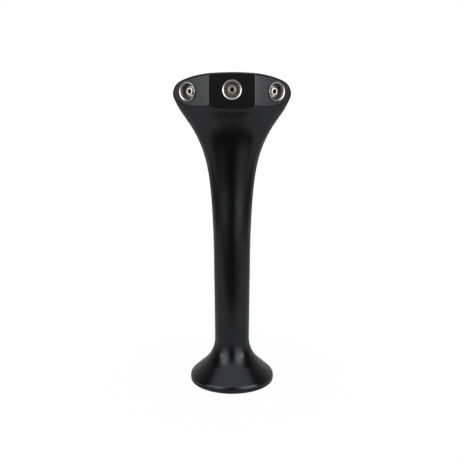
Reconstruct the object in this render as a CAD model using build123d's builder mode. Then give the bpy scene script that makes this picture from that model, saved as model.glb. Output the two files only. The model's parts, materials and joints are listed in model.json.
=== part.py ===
"""Three-way cobra beer font: a hollow cast column that flares into a hooded head.

Lengths are millimetres. The origin is the middle of the foot's underside, +Z is up
and the tap sockets look towards -Y.
"""

import os
from math import cos, pi, radians, sin, tan

from build123d import *

os.makedirs("parts", exist_ok=True)

# Foot and column of the body casting
font_height = 440.0
foot_diameter = 121.0
gasket_thickness = 2.0
lip_height = 5.6
lip_round = 7.0
foot_slope = 42.5
foot_sweep_radius = 48.5
column_radius = 24.6
neck_start_height = 150.0
neck_start_radius = 25.4
neck_overlap = 10.0
neck_tuck = 0.3
casting_wall = 4.0
rim_width = 7.0

# Hood: the neck widens to the head and leans forward to the face
hood_height = 108.0
head_half_width = 79.8
head_reach = 50.0
head_depth = 50.0
face_lean = 68.0
throat_pinch_share = 0.85
throat_shoulder_share = 1.1
throat_shoulder_power = 16
crown_swell_share = 0.10
section_point_count = 20

# Neck stations, from the column up to the hood. Each row holds the rise (share of the neck's
# height), the half width, throat depth and crown depth (share of the way from the column's
# radius to the head's size), the forward offset (of the head's reach) and the lean (of the
# face's lean).
neck_station_shares = [
    (0.000, 0.0015, 0.003, 0.003, 0.000, 0.00),
    (0.072, 0.004, 0.008, 0.008, 0.000, 0.00),
    (0.199, 0.007, 0.016, 0.016, 0.000, 0.00),
    (0.462, 0.031, 0.040, 0.064, 0.000, 0.02),
    (0.743, 0.094, 0.078, 0.128, 0.000, 0.06),
    (1.000, 0.258, 0.159, 0.237, 0.040, 0.11),
]

# Hood stations, up to the face and a little past it: the rise (share of the hood's height), the
# half width (of the head's half width), the throat and crown depths (of the head's depth), the
# forward offset and the lean.
hood_station_shares = [
    (0.353, 0.720, 0.630, 0.680, 0.116, 0.20),
    (0.597, 0.926, 0.680, 0.730, 0.272, 0.38),
    (0.758, 1.010, 0.700, 0.470, 0.440, 0.61),
    (0.834, 1.010, 0.520, 0.364, 1.000, 1.00),
    (0.879, 1.010, 0.480, 0.285, 1.400, 1.05),
]

# Face: one middle facet and two side facets, each with a tap socket
facet_angle = 34.0
centre_facet_width = 60.0
face_wall = 5.0
face_edge_round = 2.5
centre_port_drop = 23.0
side_port_drop = 25.6
side_port_offset = 34.0

# Tap socket: a turned cup with a flange in front and a threaded shank behind
flange_radius = 12.6
flange_thickness = 1.5
flange_round = 0.7
mouth_round = 0.4
mouth_radius = 11.6
thread_radius = 10.3
thread_front_length = 3.7
thread_relief_width = 1.2
thread_relief_depth = 0.7
cup_radius = 11.8
cup_floor_depth = 9.0
cup_floor_thickness = 2.5
shank_radius = 7.9
shank_length = 10.2

# Seal under the flange, pocket in the casting, and the nut behind it
socket_seal_thickness = 0.5
socket_seal_overhang = 0.4
pocket_clearance = 0.2
pocket_floor = 3.0
pocket_wall = 7.6
shank_clearance = 0.2
washer_thickness = 1.0
washer_radius = 11.0
washer_split = 1.5
nut_height = 5.0
nut_across_flats = 22.0
nut_thread_clearance = 0.1
nut_chamfer = 0.8
spotface_clearance = 0.4

# Beer spigot in the socket, its washer for the tap and its clip
nose_setback = 3.5
nose_radius = 5.25
nose_edge_round = 0.8
nose_bore_round = 0.5
spigot_bore_radius = 2.8
spigot_collar_radius = 9.6
spigot_collar_thickness = 1.2
stem_radius = 5.1
stem_clearance = 0.1
tap_seal_inner_radius = 6.6
tap_seal_thickness = 1.2
clip_thickness = 1.0
clip_width = 2.4
clip_play = 0.05
clip_groove_depth = 0.5
clip_opening = 6.0
line_socket_wall = 1.1
line_socket_length = 5.0

# Beer lines: bent stainless tube from the spigots down to the foot
line_radius = 4.0
line_wall = 0.8
line_joint_clearance = 0.05
line_pitch_radius = 9.3
line_bend_radius = 16.0
line_elbow_lead = 1.5
line_gather_radius = 60.0
line_gather_drop = 150.0
line_end_height = 26.0
line_seat_angle = 30.0

# Line guide and foam in the column
guide_height = 62.0
guide_thickness = 8.0
guide_clearance = 0.1
guide_edge_round = 1.0
foam_lead = 40.0
foam_clearance = 0.4
line_passage_clearance = 0.15

# Counter fixing under the foot
stud_circle_diameter = 84.0
stud_count = 3
stud_boss_radius = 8.0
stud_hole_radius = 3.4
stud_hole_depth = 12.0
gasket_inset = 0.3
gasket_cover = 0.5

# Places that follow from the sizes above
foot_radius = foot_diameter / 2
lip_top = gasket_thickness + lip_height
hood_start_height = font_height - hood_height
neck_rise = hood_start_height - neck_start_height
slope_top = lip_top + (foot_radius - column_radius) * tan(radians(foot_slope))
rim_inner_radius = foot_radius - rim_width
column_inner_radius = column_radius - casting_wall
pocket_radius = cup_radius + pocket_clearance
socket_front = socket_seal_thickness + flange_thickness
cup_back = cup_floor_depth + cup_floor_thickness
pocket_depth = cup_back + pocket_clearance
boss_depth = pocket_depth + pocket_floor
nut_front = boss_depth + washer_thickness
nut_corner_radius = nut_across_flats / 2 / cos(pi / 6)
shank_end = cup_back + shank_length
clip_front = shank_end + clip_play
line_socket_front = clip_front + clip_thickness + line_socket_wall
spigot_end = line_socket_front + line_socket_length
mouth_end = socket_front - (mouth_radius - thread_radius)
relief_front = mouth_end - thread_front_length
relief_back = relief_front - thread_relief_width
relief_radius = thread_radius + thread_relief_depth
collar_front = cup_floor_depth - spigot_collar_thickness
stem_hole_radius = stem_radius + stem_clearance
clip_groove_radius = stem_radius - clip_groove_depth
clip_groove_end = clip_front + clip_thickness + clip_play
line_socket_radius = line_radius + line_joint_clearance
line_gather_height = font_height - line_gather_drop
guide_top = guide_height + guide_thickness
foam_length = line_gather_height - foam_lead - guide_top
line_passage_radius = line_radius + line_passage_clearance


def slope_underside(radius):
    """Height of the casting's inner face under the foot's slope."""
    slope_height = lip_top + (foot_radius - radius) * tan(radians(foot_slope))
    return slope_height - casting_wall / cos(radians(foot_slope))


def column_bore_radius(height):
    """Radius of the column's tapered bore at a height."""
    taper = (neck_start_radius - column_radius) / (neck_start_height - slope_top)
    return column_inner_radius + taper * (height - slope_top)


def neck_plane(height, reach_share, lean_share):
    """Plane of one neck section, leaning forward about the X axis."""
    lean = radians(face_lean * lean_share)
    return Plane(
        origin=(0, -head_reach * reach_share, height),
        x_dir=(1, 0, 0),
        z_dir=(0, -sin(lean), cos(lean)),
    )


def grown(target, share):
    """A size on its way from the column's radius to the head's size."""
    return neck_start_radius + (target - neck_start_radius) * share


def neck_outline(half_width, throat_depth, crown_depth):
    """Points round one section: full at the crown, drawn in at the throat beside its shoulders."""
    growth = (half_width - neck_start_radius) / (head_half_width - neck_start_radius)
    throat_power = 1 + throat_pinch_share * growth**2
    crown_power = 1 - crown_swell_share * growth**2
    points = []
    for step in range(section_point_count):
        turn = pi / 2 + 2 * pi * step / section_point_count
        if sin(turn) < 0:
            pinch = abs(sin(turn)) ** throat_power
            shoulder = cos(turn) ** 2 * sin(turn) ** throat_shoulder_power
            depth = -throat_depth * (pinch + throat_shoulder_share * growth**2 * shoulder)
        else:
            depth = crown_depth * sin(turn) ** crown_power
        points.append((half_width * cos(turn), depth))
    return points


def neck_sections(inset):
    """Plane and outline of each section; the first one is tucked into the column."""
    start_radius = neck_start_radius - neck_tuck - inset
    start_plane = neck_plane(neck_start_height - neck_overlap, 0, 0)
    sections = [(start_plane, neck_outline(start_radius, start_radius, start_radius))]
    for rise, width, throat, crown, reach, lean in neck_station_shares:
        outline = neck_outline(
            grown(head_half_width, width) - inset,
            grown(head_depth, throat) - inset,
            grown(head_depth, crown) - inset,
        )
        sections.append((neck_plane(neck_start_height + neck_rise * rise, reach, lean), outline))
    for rise, width, throat, crown, reach, lean in hood_station_shares:
        outline = neck_outline(
            head_half_width * width - inset,
            head_depth * throat - inset,
            head_depth * crown - inset,
        )
        sections.append((neck_plane(hood_start_height + hood_height * rise, reach, lean), outline))
    return sections


def facet_plane(turn, hinge_x):
    """Upright plane of a face facet, looking outwards."""
    angle = radians(turn)
    return Plane(
        origin=(hinge_x, -head_reach, 0),
        x_dir=(cos(angle), sin(angle), 0),
        z_dir=(sin(angle), -cos(angle), 0),
    )


def port_plane(facet, along, height):
    """Plane of a tap socket on its facet, with Z along the socket's axis."""
    return Plane(
        origin=facet.from_local_coords((along, height, 0)),
        x_dir=facet.x_dir,
        z_dir=facet.z_dir,
    )


def turning_plane(port):
    """Plane for a turned profile: X is the radius, Y runs out along the axis."""
    return Plane(origin=port.origin, x_dir=port.x_dir, z_dir=-port.y_dir)


centre_facet = facet_plane(0, 0)
left_facet = facet_plane(-facet_angle, -centre_facet_width / 2)
right_facet = facet_plane(facet_angle, centre_facet_width / 2)
facets = [left_facet, centre_facet, right_facet]
side_port_height = font_height - side_port_drop
ports = {
    "left": port_plane(left_facet, -side_port_offset, side_port_height),
    "centre": port_plane(centre_facet, 0, font_height - centre_port_drop),
    "right": port_plane(right_facet, side_port_offset, side_port_height),
}

# Outer form of the casting: the lofted hood trimmed by the three facets, on the turned foot
with BuildPart() as outer_form:
    for section_plane, section_outline in neck_sections(0):
        with BuildSketch(section_plane):
            with BuildLine():
                Spline(*section_outline, periodic=True)
            make_face()
    loft()
    for facet in facets:
        split(bisect_by=facet, keep=Keep.BOTTOM)
    face_facets = faces().filter_by(GeomType.PLANE).filter_by(Axis.Z, reverse=True)
    fillet(face_facets.edges(), radius=face_edge_round)
    with BuildSketch(Plane.XZ) as foot_profile:
        with BuildLine():
            Polyline(
                (0, gasket_thickness),
                (foot_radius, gasket_thickness),
                (foot_radius, lip_top),
                (column_radius, slope_top),
                (neck_start_radius, neck_start_height),
                (0, neck_start_height),
                close=True,
            )
        make_face()
        fillet(foot_profile.vertices().sort_by_distance((foot_radius, lip_top))[0], radius=lip_round)
        sweep_corner = foot_profile.vertices().sort_by_distance((column_radius, slope_top))[0]
        fillet(sweep_corner, radius=foot_sweep_radius)
    revolve(axis=Axis.Z)

# Hollow of the casting, with bosses left standing for the sockets and the fixing studs
with BuildPart() as hollow:
    for section_plane, section_outline in neck_sections(casting_wall):
        with BuildSketch(section_plane):
            with BuildLine():
                Spline(*section_outline, periodic=True)
            make_face()
    loft()
    for facet in facets:
        split(bisect_by=facet.offset(-face_wall), keep=Keep.BOTTOM)
    for port in ports.values():
        with BuildSketch(port):
            Circle(pocket_radius + pocket_wall)
        extrude(amount=-boss_depth, mode=Mode.SUBTRACT)
    with BuildSketch(Plane.XZ) as hollow_profile:
        with BuildLine():
            Polyline(
                (0, gasket_thickness),
                (rim_inner_radius, gasket_thickness),
                (rim_inner_radius, slope_underside(rim_inner_radius)),
                (column_inner_radius, slope_underside(column_inner_radius)),
                (neck_start_radius - casting_wall, neck_start_height),
                (0, neck_start_height),
                close=True,
            )
        make_face()
        sweep_corner = hollow_profile.vertices().sort_by_distance(
            (column_inner_radius, slope_underside(column_inner_radius))
        )[0]
        fillet(sweep_corner, radius=foot_sweep_radius + casting_wall)
    revolve(axis=Axis.Z)
    with BuildSketch(Plane.XY.offset(gasket_thickness)):
        with PolarLocations(stud_circle_diameter / 2, stud_count, start_angle=90):
            Circle(stud_boss_radius)
    extrude(amount=slope_top, mode=Mode.SUBTRACT)

# Body casting
with BuildPart() as font_body:
    add(outer_form.part)
    add(hollow.part, mode=Mode.SUBTRACT)
    for port in ports.values():
        with BuildSketch(port):
            Circle(pocket_radius)
        extrude(amount=-pocket_depth, mode=Mode.SUBTRACT)
        with BuildSketch(port):
            Circle(shank_radius + shank_clearance)
        extrude(amount=-boss_depth, mode=Mode.SUBTRACT)
        with BuildSketch(port.offset(-boss_depth)):
            Circle(nut_corner_radius + spotface_clearance)
        extrude(amount=-(washer_thickness + nut_height), mode=Mode.SUBTRACT)
    with BuildSketch(Plane.XY.offset(gasket_thickness)):
        with PolarLocations(stud_circle_diameter / 2, stud_count, start_angle=90):
            Circle(stud_hole_radius)
    extrude(amount=stud_hole_depth, mode=Mode.SUBTRACT)

font_body.part.label = "font_body"
export_step(font_body.part, "parts/font_body.step")

# Gasket under the foot's rim
with BuildPart() as base_gasket:
    with BuildSketch():
        Circle(foot_radius - gasket_inset)
        Circle(rim_inner_radius + gasket_cover, mode=Mode.SUBTRACT)
    extrude(amount=gasket_thickness)

base_gasket.part.label = "base_gasket"
export_step(base_gasket.part, "parts/base_gasket.step")

# Line guide: a disc pushed down the column's taper until it wedges
with BuildPart() as line_guide:
    with BuildSketch(Plane.XY.offset(guide_height)):
        Circle(column_bore_radius(guide_height) - guide_clearance)
        with PolarLocations(line_pitch_radius, len(ports), start_angle=line_seat_angle):
            Circle(line_passage_radius, mode=Mode.SUBTRACT)
    extrude(amount=guide_thickness)
    fillet(line_guide.faces().sort_by(Axis.Z)[-1].outer_wire().edges(), radius=guide_edge_round)

line_guide.part.label = "line_guide"
export_step(line_guide.part, "parts/line_guide.step")

# Foam round the lines, standing on the guide
with BuildPart() as insulation_sleeve:
    with BuildSketch(Plane.XY.offset(guide_top)):
        Circle(column_bore_radius(guide_top) - foam_clearance)
        with PolarLocations(line_pitch_radius, len(ports), start_angle=line_seat_angle):
            Circle(line_passage_radius, mode=Mode.SUBTRACT)
    extrude(amount=foam_length)

insulation_sleeve.part.label = "insulation_sleeve"
export_step(insulation_sleeve.part, "parts/insulation_sleeve.step")

# The lines come down the column at the corners of a triangle, the middle one in front
line_seats = PolarLocations(line_pitch_radius, len(ports), start_angle=line_seat_angle).locations
line_seat = dict(zip(["right", "left", "centre"], [seat.position for seat in line_seats]))

for side, port in ports.items():
    port_axis = Axis(port.origin, port.z_dir)

    # Tap socket: flange, chamfered mouth, threaded cup with a relief groove, and shank
    with BuildPart() as tap_socket:
        with BuildSketch(turning_plane(port)) as socket_profile:
            with BuildLine():
                Polyline(
                    (mouth_radius, socket_front),
                    (flange_radius, socket_front),
                    (flange_radius, socket_seal_thickness),
                    (cup_radius, socket_seal_thickness),
                    (cup_radius, -cup_back),
                    (shank_radius, -cup_back),
                    (shank_radius, -shank_end),
                    (stem_hole_radius, -shank_end),
                    (stem_hole_radius, -cup_floor_depth),
                    (thread_radius, -cup_floor_depth),
                    (thread_radius, relief_back),
                    (relief_radius, relief_back),
                    (relief_radius, relief_front),
                    (thread_radius, relief_front),
                    (thread_radius, mouth_end),
                    close=True,
                )
            make_face()
            flange_corner = socket_profile.vertices().sort_by_distance((flange_radius, socket_front))[0]
            fillet(flange_corner, radius=flange_round)
            mouth_corner = socket_profile.vertices().sort_by_distance((mouth_radius, socket_front))[0]
            fillet(mouth_corner, radius=mouth_round)
        revolve(axis=port_axis)

    # Seal between the flange and the facet
    with BuildPart() as socket_seal:
        with BuildSketch(port):
            Circle(flange_radius + socket_seal_overhang)
            Circle(pocket_radius, mode=Mode.SUBTRACT)
        extrude(amount=socket_seal_thickness)

    # Split spring washer behind the boss
    with BuildPart() as lock_washer:
        with BuildSketch(port.offset(-nut_front)):
            Circle(washer_radius)
            Circle(shank_radius + shank_clearance, mode=Mode.SUBTRACT)
            Rectangle(washer_split, washer_radius, align=(Align.CENTER, Align.MIN), mode=Mode.SUBTRACT)
        extrude(amount=washer_thickness)

    # Thin hexagon nut that draws the socket into its pocket
    with BuildPart() as lock_nut:
        with BuildSketch(port.offset(-nut_front)):
            RegularPolygon(nut_across_flats / 2, 6, major_radius=False)
            Circle(shank_radius + nut_thread_clearance, mode=Mode.SUBTRACT)
        extrude(amount=-nut_height)
        with BuildSketch(turning_plane(port)):
            with BuildLine():
                Polyline(
                    (0, -nut_front),
                    (nut_across_flats / 2, -nut_front),
                    (nut_across_flats / 2 + nut_height, -nut_front - nut_chamfer),
                    (nut_across_flats / 2 + nut_height, -nut_front - nut_height + nut_chamfer),
                    (nut_across_flats / 2, -nut_front - nut_height),
                    (0, -nut_front - nut_height),
                    close=True,
                )
            make_face()
        revolve(axis=port_axis, mode=Mode.INTERSECT)

    # Beer spigot: nose in the cup, collar on its floor, stem through the shank
    with BuildPart() as beer_spigot:
        with BuildSketch(turning_plane(port)) as spigot_profile:
            with BuildLine():
                Polyline(
                    (spigot_bore_radius, -nose_setback),
                    (nose_radius, -nose_setback),
                    (nose_radius, -collar_front),
                    (spigot_collar_radius, -collar_front),
                    (spigot_collar_radius, -cup_floor_depth),
                    (stem_radius, -cup_floor_depth),
                    (stem_radius, -shank_end),
                    (clip_groove_radius, -shank_end),
                    (clip_groove_radius, -clip_groove_end),
                    (stem_radius, -clip_groove_end),
                    (stem_radius, -spigot_end),
                    (line_socket_radius, -spigot_end),
                    (line_socket_radius, -line_socket_front),
                    (spigot_bore_radius, -line_socket_front),
                    close=True,
                )
            make_face()
            nose_corner = spigot_profile.vertices().sort_by_distance((nose_radius, -nose_setback))[0]
            fillet(nose_corner, radius=nose_edge_round)
            bore_corner = spigot_profile.vertices().sort_by_distance((spigot_bore_radius, -nose_setback))[0]
            fillet(bore_corner, radius=nose_bore_round)
        revolve(axis=port_axis)

    # Washer that the tap seals on
    with BuildPart() as tap_seal:
        with BuildSketch(port.offset(-collar_front)):
            Circle(spigot_collar_radius)
            Circle(tap_seal_inner_radius, mode=Mode.SUBTRACT)
        extrude(amount=tap_seal_thickness)

    # Open clip in the stem's groove, behind the shank
    with BuildPart() as spigot_clip:
        with BuildSketch(port.offset(-clip_front)):
            Circle(clip_groove_radius + clip_width)
            Circle(clip_groove_radius + clip_play, mode=Mode.SUBTRACT)
            Rectangle(
                clip_opening,
                clip_groove_radius + clip_width,
                align=(Align.CENTER, Align.MAX),
                mode=Mode.SUBTRACT,
            )
        extrude(amount=-clip_thickness)

    # Beer line from the spigot, over its bend and down through the foam to the foot
    with BuildPart() as beer_line:
        seat = line_seat[side]
        line_start = port.from_local_coords((0, 0, -line_socket_front))
        elbow_depth = spigot_end + line_bend_radius + line_elbow_lead
        with BuildLine():
            FilletPolyline(
                line_start,
                port.from_local_coords((0, 0, -elbow_depth)),
                (seat.X, seat.Y, line_gather_height),
                (seat.X, seat.Y, line_end_height),
                radius=[line_bend_radius, line_gather_radius],
            )
        with BuildSketch(Plane(origin=line_start, x_dir=port.x_dir, z_dir=-port.z_dir)):
            Circle(line_radius)
            Circle(line_radius - line_wall, mode=Mode.SUBTRACT)
        sweep()

    port_pieces = {
        "tap_socket": tap_socket,
        "socket_seal": socket_seal,
        "lock_washer": lock_washer,
        "lock_nut": lock_nut,
        "beer_spigot": beer_spigot,
        "tap_seal": tap_seal,
        "spigot_clip": spigot_clip,
        "beer_line": beer_line,
    }
    for piece_name, piece in port_pieces.items():
        piece.part.label = f"{piece_name}_{side}"
        export_step(piece.part, f"parts/{piece_name}_{side}.step")
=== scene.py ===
"""Cobra beer font: finishes, small detail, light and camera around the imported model.

Lengths are metres in the model's own frame: +Z is up and the tap sockets look towards -Y.
"""

import json
from math import cos, pi, radians, sin, sqrt, tau

import bpy
from mathutils import Matrix, Vector


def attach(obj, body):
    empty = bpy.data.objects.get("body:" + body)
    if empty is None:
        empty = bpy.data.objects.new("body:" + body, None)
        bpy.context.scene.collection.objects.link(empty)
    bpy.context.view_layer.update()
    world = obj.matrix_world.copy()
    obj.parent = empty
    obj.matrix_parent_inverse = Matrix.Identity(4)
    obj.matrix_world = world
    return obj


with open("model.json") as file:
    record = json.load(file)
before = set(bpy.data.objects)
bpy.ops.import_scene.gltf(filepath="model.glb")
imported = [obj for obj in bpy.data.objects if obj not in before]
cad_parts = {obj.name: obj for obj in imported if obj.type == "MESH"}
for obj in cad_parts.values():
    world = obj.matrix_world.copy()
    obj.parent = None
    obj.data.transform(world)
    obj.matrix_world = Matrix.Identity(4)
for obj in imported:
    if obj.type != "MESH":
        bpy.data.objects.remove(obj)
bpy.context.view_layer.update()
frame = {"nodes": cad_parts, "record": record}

# Body casting: foot, column and hooded head in one hollow aluminium casting, blasted smooth and
# powder-coated black. The coat is satin with a faint orange peel, and the hollow underside keeps
# only a mist of paint over the grey cast skin.

mm = 0.001
nodes = frame["nodes"]
coat_colour = "#040405"
cast_colour = "#5f605f"
coat_roughness = 0.24
roughness_spread = 0.02
peel_size = 2.4 * mm
peel_depth = 0.008 * mm
haze_size = 45 * mm
underside_top = 62 * mm
underside_tilt = -0.15


def linear(hex_colour):
    """An sRGB hex colour as linear RGBA."""
    channels = [int(hex_colour[place:place + 2], 16) / 255 for place in (1, 3, 5)]
    return [c / 12.92 if c <= 0.04045 else ((c + 0.055) / 1.055) ** 2.4 for c in channels] + [1.0]


def add_node(tree, kind, sockets=None, **settings):
    """A node with its settings; a socket takes a value or another node's output."""
    node = tree.nodes.new(kind)
    for name, value in settings.items():
        setattr(node, name, value)
    for name, value in (sockets or {}).items():
        if isinstance(value, bpy.types.NodeSocket):
            tree.links.new(value, node.inputs[name])
        else:
            node.inputs[name].default_value = value
    return node


def new_material(name):
    """An empty material, its node tree and its output node."""
    material = bpy.data.materials.new(name)
    material.use_nodes = True
    tree = material.node_tree
    tree.nodes.clear()
    return material, tree, tree.nodes.new("ShaderNodeOutputMaterial")


def wear(material, *names):
    """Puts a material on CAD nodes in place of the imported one."""
    for name in names:
        slots = nodes[name].data.materials
        slots.clear()
        slots.append(material)


# Powder flows out almost flat in the oven, so the light lies on it in soft, wide patches.
powder_coat, tree, output = new_material("powder_coated_aluminium")
place = add_node(tree, "ShaderNodeTexCoord")
spot = place.outputs["Object"]
facing = add_node(tree, "ShaderNodeSeparateXYZ", {"Vector": place.outputs["Normal"]})
level = add_node(tree, "ShaderNodeSeparateXYZ", {"Vector": spot})
low_down = add_node(
    tree, "ShaderNodeMath", {0: level.outputs["Z"], 1: underside_top}, operation="LESS_THAN"
)
looks_down = add_node(
    tree, "ShaderNodeMath", {0: facing.outputs["Z"], 1: underside_tilt}, operation="LESS_THAN"
)
under = add_node(
    tree,
    "ShaderNodeMath",
    {0: low_down.outputs[0], 1: looks_down.outputs[0]},
    operation="MULTIPLY",
)
# The peel is drawn a little coarser than life, so that it shows at all.
peel = add_node(tree, "ShaderNodeTexNoise", {"Vector": spot, "Scale": 1 / peel_size, "Detail": 1.5})
haze = add_node(tree, "ShaderNodeTexNoise", {"Vector": spot, "Scale": 1 / haze_size, "Detail": 2.0})
roughness = add_node(
    tree,
    "ShaderNodeMapRange",
    {
        "Value": haze.outputs["Fac"],
        "To Min": coat_roughness - roughness_spread,
        "To Max": coat_roughness + roughness_spread,
    },
)
mist = add_node(
    tree, "ShaderNodeMath", {0: under.outputs[0], 1: peel.outputs["Fac"]}, operation="MULTIPLY"
)
colour = add_node(
    tree,
    "ShaderNodeMix",
    {"Factor": mist.outputs[0], "A": linear(coat_colour), "B": linear(cast_colour)},
    data_type="RGBA",
)
bump = add_node(
    tree, "ShaderNodeBump", {"Height": peel.outputs["Fac"], "Distance": peel_depth}
)
shader = add_node(
    tree,
    "ShaderNodeBsdfPrincipled",
    {
        "Base Color": colour.outputs["Result"],
        "Roughness": roughness.outputs["Result"],
        "Normal": bump.outputs["Normal"],
    },
)
tree.links.new(shader.outputs["BSDF"], output.inputs["Surface"])
wear(powder_coat, "font_body")

# Foot gasket and socket seals: black nitrile rubber, the gasket cut from sheet and lying under
# the foot's rim, the seals moulded and pinched under the sockets' flanges.

sides = ("left", "centre", "right")
rubber_colour = "#121213"
rubber_roughness = 0.62
rubber_specular = 0.4
rubber_grain = 1.2 * mm
rubber_depth = 0.03 * mm

# Pressed rubber has a fine grain, so it is matt and shows only a dull sheen at its edges.
nitrile, tree, output = new_material("black_nitrile_rubber")
place = add_node(tree, "ShaderNodeTexCoord")
grain = add_node(
    tree,
    "ShaderNodeTexNoise",
    {"Vector": place.outputs["Object"], "Scale": 1 / rubber_grain, "Detail": 3.0},
)
bump = add_node(
    tree, "ShaderNodeBump", {"Height": grain.outputs["Fac"], "Distance": rubber_depth}
)
shader = add_node(
    tree,
    "ShaderNodeBsdfPrincipled",
    {
        "Base Color": linear(rubber_colour),
        "Roughness": rubber_roughness,
        "Specular IOR Level": rubber_specular,
        "Normal": bump.outputs["Normal"],
    },
)
tree.links.new(shader.outputs["BSDF"], output.inputs["Surface"])
wear(nitrile, "base_gasket", *[f"socket_seal_{side}" for side in sides])

# Tap sockets: cups turned from stainless bar, pulled into the face from behind by a nut on the
# shank. The front of each cup is threaded for the tap, and its floor takes the spigot.

mounts = {mount["name"]: mount for mount in frame["record"]["mounts"]}
thread_middle = 1.15 * mm
socket_colour = "#aca69c"
socket_roughness = 0.45
ring_pitch = 0.45 * mm
ring_depth = 0.0006 * mm
wave_radians = 20


def port_frame(side):
    """A socket's own frame: Z runs out along its axis, Y is up, the facet is at zero."""
    mount = mounts[f"tap_{side}"]
    out = Vector(mount["axis"]).normalized()
    up = Vector((0, 0, 1))
    across = up.cross(out)
    origin = Vector(mount["pos_m"]) + out * thread_middle
    turned = Matrix((across, up, out)).transposed().to_4x4()
    return Matrix.Translation(origin) @ turned


def turned_metal(name, side, colour, roughness):
    """Turned metal: fine rings round the socket's axis draw each highlight out across them."""
    material, tree, output = new_material(f"{name}_{side}")
    place = add_node(tree, "ShaderNodeTexCoord")
    port = port_frame(side)
    centred = add_node(
        tree,
        "ShaderNodeMapping",
        {
            "Vector": place.outputs["Object"],
            "Location": port.to_translation(),
            "Rotation": port.to_euler(),
        },
        vector_type="TEXTURE",
    )
    # Feed marks are about a tenth of this in life; they are drawn coarser so that they show.
    ring_scale = tau / wave_radians / ring_pitch
    rings = add_node(
        tree,
        "ShaderNodeTexWave",
        {"Vector": centred.outputs["Vector"], "Scale": ring_scale},
        wave_type="RINGS",
        rings_direction="Z",
    )
    hoops = add_node(
        tree,
        "ShaderNodeTexWave",
        {"Vector": centred.outputs["Vector"], "Scale": ring_scale},
        wave_type="BANDS",
        bands_direction="Z",
    )
    marks = add_node(
        tree, "ShaderNodeMath", {0: rings.outputs["Fac"], 1: hoops.outputs["Fac"]}, operation="ADD"
    )
    bump = add_node(
        tree, "ShaderNodeBump", {"Height": marks.outputs[0], "Distance": ring_depth}
    )
    shader = add_node(
        tree,
        "ShaderNodeBsdfPrincipled",
        {
            "Base Color": linear(colour),
            "Metallic": 1.0,
            "Roughness": roughness,
            "Normal": bump.outputs["Normal"],
        },
    )
    tree.links.new(shader.outputs["BSDF"], output.inputs["Surface"])
    return material


# The cups are left as turned, so they look greyer and duller than their rims.
for side in sides:
    cup_steel = turned_metal("turned_stainless", side, socket_colour, socket_roughness)
    wear(cup_steel, f"tap_socket_{side}")

# Socket rims: a polished stainless collar closes the mouth of each socket. Its front is dished
# towards the thread, which gives the bright ring in the face, and its edges are broken.

rim_colour = "#e0dfdc"
rim_roughness = 0.14
rim_radius = 12.65 * mm
rim_crest = 12.25 * mm
rim_mouth = 11.15 * mm
rim_seat = 0.7 * mm
mouth_seat = 1.4 * mm
rim_shoulder = 1.85 * mm
rim_top = 2.25 * mm
dish_depth = 0.43 * mm
edge_break = 0.12 * mm
break_steps = 3
rim_steps = 96
corner_angle = radians(20)
rim_smooth = radians(30)
merge_distance = 0.001 * mm

# Polishing leaves a soft mirror, so the rims catch the lamps and the white room.
polished = {
    side: turned_metal("polished_stainless", side, rim_colour, rim_roughness) for side in sides
}


def fit_to_sockets(pattern, name):
    """Copies one modelled piece into every socket, each copy with its own mesh."""
    for side in sides:
        piece = pattern.copy()
        piece.data = pattern.data.copy()
        piece.name = f"{name}_{side}"
        piece.data.transform(port_frame(side))
        piece.data.materials.append(polished[side])
        bpy.context.scene.collection.objects.link(piece)
        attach(piece, "root")
    bpy.data.objects.remove(pattern)


bpy.ops.object.select_all(action="DESELECT")
bpy.ops.mesh.primitive_circle_add(
    vertices=rim_steps, radius=rim_radius, location=(0, 0, rim_seat)
)
rim = bpy.context.object
bpy.ops.object.transform_apply(location=True)
bpy.ops.object.mode_set(mode="EDIT")
bpy.ops.mesh.select_all(action="SELECT")
radius, height = rim_radius, rim_seat
for next_radius, next_height in (
    (rim_radius, rim_shoulder),
    (rim_crest, rim_top),
    (rim_mouth, rim_top - dish_depth),
    (rim_mouth, mouth_seat),
    (rim_radius, rim_seat),
):
    bpy.ops.mesh.extrude_region_move(
        TRANSFORM_OT_translate={"value": (0, 0, next_height - height)}
    )
    growth = next_radius / radius
    bpy.ops.transform.resize(value=(growth, growth, 1), center_override=(0, 0, next_height))
    radius, height = next_radius, next_height
bpy.ops.mesh.select_all(action="SELECT")
bpy.ops.mesh.remove_doubles(threshold=merge_distance)
bpy.ops.mesh.normals_make_consistent(inside=False)
bpy.ops.mesh.select_all(action="DESELECT")
bpy.ops.mesh.edges_select_sharp(sharpness=corner_angle)
bpy.ops.mesh.bevel(offset=edge_break, segments=break_steps, affect="EDGES")
bpy.ops.object.mode_set(mode="OBJECT")
bpy.ops.object.shade_smooth_by_angle(angle=rim_smooth)
fit_to_sockets(rim, "socket_rim")

# Socket threads: the pipe thread that a tap screws into, cut in the front of each cup above its
# relief groove. One ridge is wound up from a small triangle.

thread_pitch = 1.814 * mm
thread_turns = 1.4
thread_start = 0.05 * mm
thread_steps = 112
thread_smooth = radians(40)
ridge_centre = 10.25 * mm
ridge_height = 0.27 * mm
ridge_width = 1.1 * mm
ridge_corner = ridge_height * 2 / 3

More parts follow.
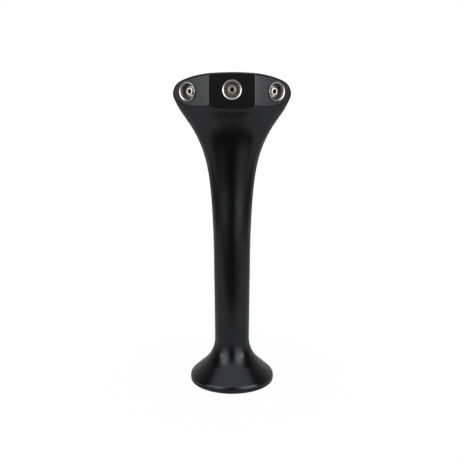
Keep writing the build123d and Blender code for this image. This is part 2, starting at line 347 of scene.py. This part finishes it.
bpy.ops.object.select_all(action="DESELECT")
bpy.ops.mesh.primitive_circle_add(
    vertices=3, radius=ridge_corner, rotation=(pi / 2, -pi / 2, 0)
)
ridge = bpy.context.object
bpy.ops.object.transform_apply(rotation=True)
bpy.ops.object.mode_set(mode="EDIT")
bpy.ops.mesh.select_all(action="SELECT")
bpy.ops.transform.resize(value=(1, 1, ridge_width / (ridge_corner * sqrt(3))))
bpy.ops.transform.translate(value=(ridge_centre, 0, thread_start))
bpy.ops.object.mode_set(mode="OBJECT")
winding = ridge.modifiers.new("winding", "SCREW")
winding.angle = thread_turns * tau
winding.screw_offset = -thread_turns * thread_pitch
winding.steps = thread_steps
winding.render_steps = thread_steps
bpy.ops.object.modifier_apply(modifier=winding.name)
bpy.ops.object.mode_set(mode="EDIT")
bpy.ops.mesh.select_all(action="SELECT")
bpy.ops.mesh.fill_holes(sides=3)
bpy.ops.mesh.select_all(action="SELECT")
bpy.ops.mesh.remove_doubles(threshold=merge_distance)
bpy.ops.mesh.normals_make_consistent(inside=False)
bpy.ops.object.mode_set(mode="OBJECT")
bpy.ops.object.shade_smooth_by_angle(angle=thread_smooth)
fit_to_sockets(ridge, "socket_thread")

# Beer spigots: stainless nozzles with a nose in each cup and a stem through the shank, each
# held at the back by an open clip. The tap's silicone washer lies round the nose.

spigot_colour = "#d8d2c6"
spigot_roughness = 0.3
silicone_colour = "#635d53"
silicone_specular = 0.4
clean_roughness = 0.4
dusty_roughness = 0.65
dust_size = 1.5 * mm

# A finer cut than in the cups leaves the noses brighter.
for side in sides:
    nose_steel = turned_metal("fine_turned_stainless", side, spigot_colour, spigot_roughness)
    wear(nose_steel, f"beer_spigot_{side}")

# Silicone is soft and a little dusty, so its sheen is patchy.
silicone, tree, output = new_material("grey_silicone")
place = add_node(tree, "ShaderNodeTexCoord")
dust = add_node(
    tree,
    "ShaderNodeTexNoise",
    {"Vector": place.outputs["Object"], "Scale": 1 / dust_size, "Detail": 3.0},
)
roughness = add_node(
    tree,
    "ShaderNodeMapRange",
    {"Value": dust.outputs["Fac"], "To Min": clean_roughness, "To Max": dusty_roughness},
)
shader = add_node(
    tree,
    "ShaderNodeBsdfPrincipled",
    {
        "Base Color": linear(silicone_colour),
        "Roughness": roughness.outputs["Result"],
        "Specular IOR Level": silicone_specular,
    },
)
tree.links.new(shader.outputs["BSDF"], output.inputs["Surface"])
wear(silicone, *[f"tap_seal_{side}" for side in sides])

# Nuts, washers and clips behind the face: nickel-plated brass nuts on zinc-plated spring washers,
# tightened from inside the head before the lines go in, and zinc-plated clips on the spigots.

nickel_colour = "#c8bfa6"
nickel_roughness = 0.28
zinc_colour = "#a9adb2"
zinc_roughness = 0.34

# Nickel is bright and a little yellow over the brass, zinc is bluer and duller.
for side in sides:
    nickel = turned_metal("nickel_plated_brass", side, nickel_colour, nickel_roughness)
    wear(nickel, f"lock_nut_{side}")
    zinc = turned_metal("zinc_plated_steel", side, zinc_colour, zinc_roughness)
    wear(zinc, f"lock_washer_{side}", f"spigot_clip_{side}")

# Beer lines: bright drawn stainless tube, let into the end of each spigot, bent over behind it
# and led down the column to the foot.

tube_colour = "#c4c2bd"
bright_roughness = 0.2
streak_roughness = 0.36
streak_width = 4 / 3 * mm
streak_length = 80 * mm

# Drawing leaves long faint streaks, so the sheen is broken up along the tube. They are drawn
# wider than life, so that they show.
drawn_tube, tree, output = new_material("drawn_stainless_tube")
place = add_node(tree, "ShaderNodeTexCoord")
streaks = add_node(
    tree,
    "ShaderNodeMapping",
    {
        "Vector": place.outputs["Object"],
        "Scale": (1 / streak_width, 1 / streak_width, 1 / streak_length),
    },
)
drawing = add_node(
    tree, "ShaderNodeTexNoise", {"Vector": streaks.outputs["Vector"], "Scale": 1.0, "Detail": 3.0}
)
roughness = add_node(
    tree,
    "ShaderNodeMapRange",
    {"Value": drawing.outputs["Fac"], "To Min": bright_roughness, "To Max": streak_roughness},
)
shader = add_node(
    tree,
    "ShaderNodeBsdfPrincipled",
    {
        "Base Color": linear(tube_colour),
        "Metallic": 1.0,
        "Roughness": roughness.outputs["Result"],
    },
)
tree.links.new(shader.outputs["BSDF"], output.inputs["Surface"])
wear(drawn_tube, *[f"beer_line_{side}" for side in sides])

# Line guide and foam: a nylon disc wedged in the column keeps the lines apart, and a closed-cell
# foam plug stands on it to keep them cool.

nylon_colour = "#dcd8cb"
glossy_flow = 0.36
matt_flow = 0.56
flow_size = 6 * mm
flow_bend = 1.5
milkiness = 0.15
milky_depth = 2 * mm
foam_colour = "#2a2b2d"
foam_roughness = 0.85
cell_size = 1.6 * mm
cell_depth = 0.3 * mm

# Moulding leaves faint flow marks in the milky plastic.
nylon, tree, output = new_material("natural_nylon")
place = add_node(tree, "ShaderNodeTexCoord")
flow = add_node(
    tree,
    "ShaderNodeTexNoise",
    {
        "Vector": place.outputs["Object"],
        "Scale": 1 / flow_size,
        "Detail": 2.0,
        "Distortion": flow_bend,
    },
)
roughness = add_node(
    tree,
    "ShaderNodeMapRange",
    {"Value": flow.outputs["Fac"], "To Min": glossy_flow, "To Max": matt_flow},
)
shader = add_node(
    tree,
    "ShaderNodeBsdfPrincipled",
    {
        "Base Color": linear(nylon_colour),
        "Roughness": roughness.outputs["Result"],
        "Subsurface Weight": milkiness,
        "Subsurface Scale": milky_depth,
    },
)
tree.links.new(shader.outputs["BSDF"], output.inputs["Surface"])
wear(nylon, "line_guide")

# Cut cells leave the foam pitted all over, so it looks matt and nearly black.
foam, tree, output = new_material("closed_cell_foam")
place = add_node(tree, "ShaderNodeTexCoord")
cells = add_node(
    tree,
    "ShaderNodeTexVoronoi",
    {"Vector": place.outputs["Object"], "Scale": 1 / cell_size},
)
bump = add_node(
    tree, "ShaderNodeBump", {"Height": cells.outputs["Distance"], "Distance": cell_depth}
)
shader = add_node(
    tree,
    "ShaderNodeBsdfPrincipled",
    {
        "Base Color": linear(foam_colour),
        "Roughness": foam_roughness,
        "Normal": bump.outputs["Normal"],
    },
)
tree.links.new(shader.outputs["BSDF"], output.inputs["Surface"])
wear(foam, "insulation_sleeve")

# Table: a wide white-painted table top that ends a little in front of the font. It is pure white
# to the camera away from the foot, and near the foot it keeps a trace of the font's shadow. Metal
# sees that white only far off, so that the foot and the column stay black.

table_front = -0.315
table_back = 0.9
table_half_width = 0.9
table_colour = "#d6d6d6"
pure_white = "#ffffff"
shadow_radius = 0.10
clear_radius = 0.34
shadow_share = 0.985
mirror_start = 0.7
mirror_full = 1.3

bpy.ops.object.select_all(action="DESELECT")
bpy.ops.mesh.primitive_plane_add(size=1.0)
table_top = bpy.context.object
table_top.name = "table_top"
bpy.ops.object.mode_set(mode="EDIT")
bpy.ops.mesh.select_all(action="SELECT")
bpy.ops.transform.resize(value=(2 * table_half_width, table_back - table_front, 1))
bpy.ops.transform.translate(value=(0, (table_back + table_front) / 2, 0))
bpy.ops.object.mode_set(mode="OBJECT")

# Matt paint takes the soft shadow and shows no mirror image.
table_paint, tree, output = new_material("white_table_paint")
place = add_node(tree, "ShaderNodeTexCoord")
reach = add_node(tree, "ShaderNodeVectorMath", {0: place.outputs["Object"]}, operation="LENGTH")
whiteness = add_node(
    tree,
    "ShaderNodeMapRange",
    {
        "Value": reach.outputs["Value"],
        "From Min": shadow_radius,
        "From Max": clear_radius,
        "To Min": shadow_share,
        "To Max": 1.0,
    },
    interpolation_type="SMOOTHSTEP",
)
far_off = add_node(
    tree,
    "ShaderNodeMapRange",
    {"Value": reach.outputs["Value"], "From Min": mirror_start, "From Max": mirror_full},
    interpolation_type="SMOOTHSTEP",
)
rays = add_node(tree, "ShaderNodeLightPath")
mirrored = add_node(
    tree,
    "ShaderNodeMath",
    {0: rays.outputs["Is Glossy Ray"], 1: rays.outputs["Is Transmission Ray"]},
    operation="ADD",
)
in_metal = add_node(
    tree,
    "ShaderNodeMath",
    {0: mirrored.outputs[0], 1: far_off.outputs["Result"]},
    operation="MULTIPLY",
)
share = add_node(
    tree,
    "ShaderNodeMath",
    {0: rays.outputs["Is Camera Ray"], 1: whiteness.outputs["Result"], 2: in_metal.outputs[0]},
    operation="MULTIPLY_ADD",
)
lit = add_node(tree, "ShaderNodeBsdfDiffuse", {"Color": linear(table_colour)})
glow = add_node(tree, "ShaderNodeEmission", {"Color": linear(pure_white), "Strength": 1.0})
surface = add_node(
    tree,
    "ShaderNodeMixShader",
    {"Fac": share.outputs[0], 1: lit.outputs["BSDF"], 2: glow.outputs["Emission"]},
)
tree.links.new(surface.outputs["Shader"], output.inputs["Surface"])
table_top.data.materials.append(table_paint)

# Room: white to the camera, with a white wall straight behind that metal sees too. The rest is
# dim: it glows at the horizon and on the floor in front, and is dark below the table's edge.
# Limits are the sine of the angle above the horizon, or the share of a heading that runs back.

room_glow = (
    (-0.80, 0.16),
    (-0.66, 0.16),
    (-0.52, 0.03),
    (-0.34, 0.02),
    (-0.20, 0.06),
    (-0.10, 0.10),
    (-0.03, 0.24),
    (0.03, 0.22),
    (0.15, 0.05),
)
back_low = 0.08
back_high = 0.55
back_low_end = -0.12
back_high_start = 0.02
front_end = 0.1
back_start = 0.9
backdrop_edge = 0.94
backdrop_full = 1.0
backdrop_low = -0.06
backdrop_high = 0.04

room = bpy.data.worlds.new("studio_room")
bpy.context.scene.world = room
room.use_nodes = True
tree = room.node_tree
tree.nodes.clear()
rays = add_node(tree, "ShaderNodeLightPath")
way = add_node(tree, "ShaderNodeTexCoord")
heading = add_node(tree, "ShaderNodeSeparateXYZ", {"Vector": way.outputs["Generated"]})
rise = add_node(
    tree, "ShaderNodeMapRange", {"Value": heading.outputs["Z"], "From Min": -1.0, "From Max": 1.0}
)
front = add_node(tree, "ShaderNodeValToRGB", {"Fac": rise.outputs["Result"]})
stops = front.color_ramp.elements
while len(stops) < len(room_glow):
    stops.new(1.0)
for stop, (height, brightness) in zip(stops, room_glow):
    stop.position = (height + 1) / 2
    stop.color = (brightness, brightness, brightness, 1)
back = add_node(
    tree,
    "ShaderNodeMapRange",
    {
        "Value": heading.outputs["Z"],
        "From Min": back_low_end,
        "From Max": back_high_start,
        "To Min": back_low,
        "To Max": back_high,
    },
)
wall = add_node(
    tree,
    "ShaderNodeMapRange",
    {
        "Value": heading.outputs["Y"],
        "From Min": front_end,
        "From Max": back_start,
        "To Min": front.outputs["Color"],
        "To Max": back.outputs["Result"],
    },
)
behind = add_node(
    tree,
    "ShaderNodeMapRange",
    {"Value": heading.outputs["Y"], "From Min": backdrop_edge, "From Max": backdrop_full},
    interpolation_type="SMOOTHSTEP",
)
above = add_node(
    tree,
    "ShaderNodeMapRange",
    {
        "Value": heading.outputs["Z"],
        "From Min": backdrop_low,
        "From Max": backdrop_high,
        "To Max": behind.outputs["Result"],
    },
)
mirrored = add_node(
    tree,
    "ShaderNodeMath",
    {0: rays.outputs["Is Glossy Ray"], 1: rays.outputs["Is Transmission Ray"]},
    operation="ADD",
)
share = add_node(
    tree,
    "ShaderNodeMath",
    {0: mirrored.outputs[0], 1: above.outputs["Result"], 2: rays.outputs["Is Camera Ray"]},
    operation="MULTIPLY_ADD",
)
dim = add_node(
    tree,
    "ShaderNodeBackground",
    {"Color": linear(pure_white), "Strength": wall.outputs["Result"]},
)
white = add_node(tree, "ShaderNodeBackground", {"Color": linear(pure_white), "Strength": 1.0})
surface = add_node(
    tree,
    "ShaderNodeMixShader",
    {"Fac": share.outputs[0], 1: dim.outputs["Background"], 2: white.outputs["Background"]},
)
add_node(tree, "ShaderNodeOutputWorld", {"Surface": surface.outputs["Shader"]})

# Lamps: cloth-covered soft boxes, a large one on either side of the camera and a wide one
# overhead, and a small strip further round on each side that lights the column's edges.

lamp_colour = "#f8faff"
fall_reach = 0.55
box_fall = 0.15
strip_fall = 0.8
top_fall = 0.9


def soft_box(name, place, aim, width, tall, brightness, edge_share):
    """An area lamp at a place, turned to its aim, bright in its middle and dimmer to its edges."""
    lamp = bpy.data.lights.new(name, "AREA")
    lamp.shape = "RECTANGLE"
    lamp.size = width
    lamp.size_y = tall
    lamp.energy = pi * width * tall
    lamp.use_nodes = True
    tree = lamp.node_tree
    tree.nodes.clear()
    across = add_node(tree, "ShaderNodeNewGeometry")
    reach = add_node(
        tree,
        "ShaderNodeVectorMath",
        {0: across.outputs["Parametric"], 1: (0.5, 0.5, 0.0)},
        operation="DISTANCE",
    )
    fall = add_node(
        tree,
        "ShaderNodeMapRange",
        {
            "Value": reach.outputs["Value"],
            "From Max": fall_reach,
            "To Min": brightness,
            "To Max": brightness * edge_share,
        },
        interpolation_type="SMOOTHSTEP",
    )
    cloth = add_node(
        tree,
        "ShaderNodeEmission",
        {"Color": linear(lamp_colour), "Strength": fall.outputs["Result"]},
    )
    add_node(tree, "ShaderNodeOutputLight", {"Surface": cloth.outputs["Emission"]})
    holder = bpy.data.objects.new(name, lamp)
    bpy.context.scene.collection.objects.link(holder)
    holder.location = place
    holder.rotation_euler = (Vector(aim) - Vector(place)).to_track_quat("-Z", "Y").to_euler()
    holder.visible_camera = False


def stand_lamp(name, angle, distance, level, **cloth):
    """A soft box on a stand, its angle to the right of straight ahead, facing the font's axis."""
    turn = radians(angle)
    place = (distance * sin(turn), -distance * cos(turn), level)
    soft_box(name, place, (0, 0, level), **cloth)


stand_lamp(
    "left_box", angle=-43, distance=1.2, level=0.74,
    width=1.15, tall=1.5, brightness=3.5, edge_share=box_fall,
)
stand_lamp(
    "right_box", angle=41, distance=1.2, level=0.64,
    width=1.2, tall=1.5, brightness=3.7, edge_share=box_fall,
)
stand_lamp(
    "left_strip", angle=-63.2, distance=1.25, level=0.42,
    width=0.28, tall=0.26, brightness=3.8, edge_share=strip_fall,
)
stand_lamp(
    "right_strip", angle=60.8, distance=1.25, level=0.42,
    width=0.28, tall=0.26, brightness=5.8, edge_share=strip_fall,
)
soft_box(
    "top_box", place=(0, -0.6, 1.3), aim=(0, -0.6, 0),
    width=2.0, tall=1.5, brightness=0.98, edge_share=top_fall,
)

# Camera: a metre in front of the font at the height of its head, looking down on the foot. Its
# lens gives the square picture the width that was worked out from the foot and the head.

picture_side = 464
focal_pixels = 724.5
look_down = 12.49
camera_place = (0, -1.0, 0.440)

camera_data = bpy.data.cameras.new("photo_camera")
camera = bpy.data.objects.new("photo_camera", camera_data)
bpy.context.scene.collection.objects.link(camera)
camera.location = camera_place
camera.rotation_euler = (radians(90 - look_down), 0, 0)
camera_data.lens = camera_data.sensor_width * focal_pixels / picture_side
bpy.context.scene.camera = camera
bpy.context.scene.view_settings.view_transform = "Standard"
